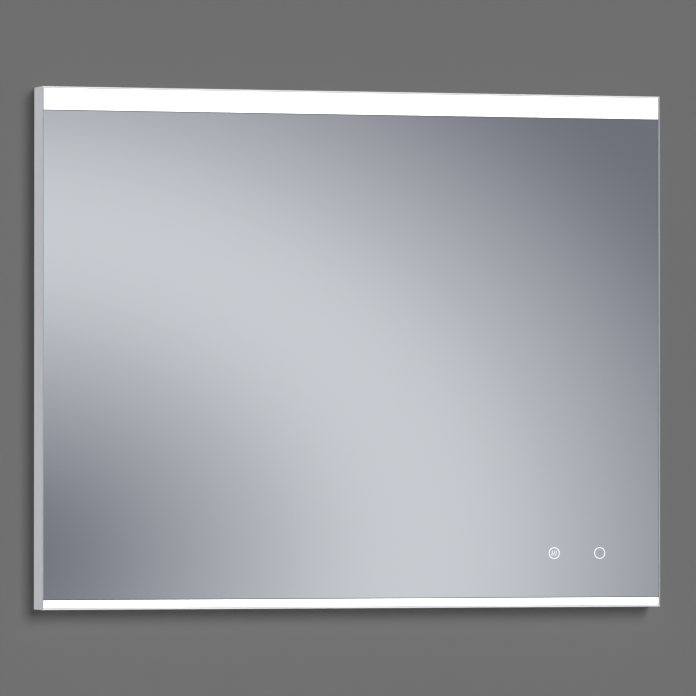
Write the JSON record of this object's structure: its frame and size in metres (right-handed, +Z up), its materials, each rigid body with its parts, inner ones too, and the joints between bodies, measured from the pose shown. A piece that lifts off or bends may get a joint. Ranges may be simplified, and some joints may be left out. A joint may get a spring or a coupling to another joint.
{
  "type": "lighted bathroom mirror",
  "caption": "Wall-hung rectangular bathroom mirror in a slim aluminium frame, lit bands along the top and bottom, round touch marks at the lower right, on an interlocking wall rail.",
  "frame": {"origin": "middle of the wall rail's row of screw holes, on the wall plane", "axes": "+X to the viewer's right, +Z up, +Y from the room into the wall; the mirror faces -Y"},
  "size_m": [1, 0.05, 0.8],
  "materials": {
    "mirror_silver": "polished silvered float glass",
    "opal_panel": "opal acrylic, lit from behind",
    "lit_mark": "frosted mark in the glass, lit from behind",
    "anodised_aluminium": "satin anodised extrusion",
    "zinc_steel": "zinc plated pressed steel",
    "screw_steel": "plated steel fasteners",
    "foam_tape": "white acrylic foam tape",
    "channel_white": "white coated aluminium extrusion",
    "strip_board": "white flexible circuit",
    "led_package": "phosphor over a white package",
    "heater_film": "laminated heating film",
    "sensor_plastic": "moulded housing",
    "circuit_board": "green solder mask",
    "light_guide": "clear moulded ring",
    "driver_plastic": "moulded housing, fine texture",
    "transformer_core": "potted core",
    "capacitor_sleeve": "shrunk sleeve",
    "terminal_plastic": "natural moulding",
    "cover_paint": "light grey powder coat on aluminium sheet",
    "soft_rubber": "moulded rubber",
    "tinned_brass": "plated brass",
    "white_sheath": "smooth cable sheath",
    "earth_sheath": "green cable sheath with a yellow stripe"
  },
  "bodies": {
    "rail": {"wall_rail": "zinc_steel"},
    "mirror": {"mirror_glass": "mirror_silver", "light_panel_top": "opal_panel", "light_panel_bottom": "opal_panel", "dimmer_icon": "lit_mark", "demister_icon": "lit_mark", "frame_top": "anodised_aluminium", "frame_bottom": "anodised_aluminium", "frame_left": "anodised_aluminium", "frame_right": "anodised_aluminium", "corner_key_top_left": "zinc_steel", "corner_key_top_right": "zinc_steel", "corner_key_bottom_left": "zinc_steel", "corner_key_bottom_right": "zinc_steel", "corner_key_grub_screws": "screw_steel", "edge_tape": "foam_tape", "joint_tape": "foam_tape", "light_channel_top": "channel_white", "light_channel_bottom": "channel_white", "led_strip_top": "strip_board", "led_strip_bottom": "strip_board", "led_chips_top": "led_package", "led_chips_bottom": "led_package", "demister_pad": "heater_film", "dimmer_sensor_case": "sensor_plastic", "demister_sensor_case": "sensor_plastic", "dimmer_sensor_board": "circuit_board", "demister_sensor_board": "circuit_board", "dimmer_light_guide": "light_guide", "demister_light_guide": "light_guide", "driver_case": "driver_plastic", "driver_lid": "driver_plastic", "driver_board": "circuit_board", "driver_transformer": "transformer_core", "driver_capacitors": "capacitor_sleeve", "driver_screws": "screw_steel", "terminal_tray": "driver_plastic", "terminal_lid": "cover_paint", "terminal_lid_screws": "screw_steel", "terminal_block": "terminal_plastic", "cord_clamp": "terminal_plastic", "cord_clamp_screws": "screw_steel", "inlet_grommet": "soft_rubber", "earth_stud": "tinned_brass", "earth_lug": "tinned_brass", "earth_nut": "screw_steel", "hanger": "zinc_steel", "hanger_rivets": "screw_steel", "wall_bumper_left": "soft_rubber", "wall_bumper_right": "soft_rubber", "back_cover": "cover_paint", "cover_screws": "screw_steel", "led_cable_top": "white_sheath", "led_cable_bottom": "white_sheath", "demister_pad_cable": "white_sheath", "dimmer_cable": "white_sheath", "demister_switch_cable": "white_sheath", "mains_link_cable": "white_sheath", "earth_wire": "earth_sheath", "cable_clips": "terminal_plastic"}
  },
  "joints": [
    {"name": "lift_off", "type": "slide", "parent": "rail", "child": "mirror", "axis": [0, 0, 1], "range_m": [0, 0.014]}
  ]
}
